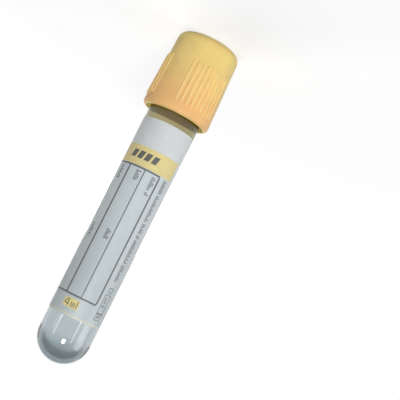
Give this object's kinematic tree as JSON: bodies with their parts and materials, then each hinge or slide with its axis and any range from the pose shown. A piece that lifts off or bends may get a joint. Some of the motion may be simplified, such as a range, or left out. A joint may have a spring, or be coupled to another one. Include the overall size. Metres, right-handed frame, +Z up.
{
  "type": "blood collection tube",
  "caption": "Clear round-ended collection tube with a wrap-round label and a ribbed shielded cap over a rubber stopper, stood upside down on the flat top of its cap.",
  "frame": {"origin": "on the floor, in the middle of the cap's flat top, on which the part stands", "axes": "+Z up along the tube's axis, from the cap's top to the round end; the middle of the label's print faces -Y"},
  "size_m": [0.0173, 0.0174, 0.0844],
  "materials": {
    "clear_plastic": "clear, glossy PET",
    "cap_plastic": "satin moulded polyethylene",
    "stopper_rubber": "matt moulded rubber",
    "label_film": "satin printed film",
    "solution": "clear liquid"
  },
  "bodies": {
    "closure": {"cap": "cap_plastic", "stopper": "stopper_rubber"},
    "tube_body": {"tube": "clear_plastic", "label": "label_film", "additive_solution": "solution"}
  },
  "joints": [
    {"name": "uncapping", "type": "slide", "parent": "closure", "child": "tube_body", "axis": [0, 0, 1], "range_m": [0, 0.03]}
  ]
}
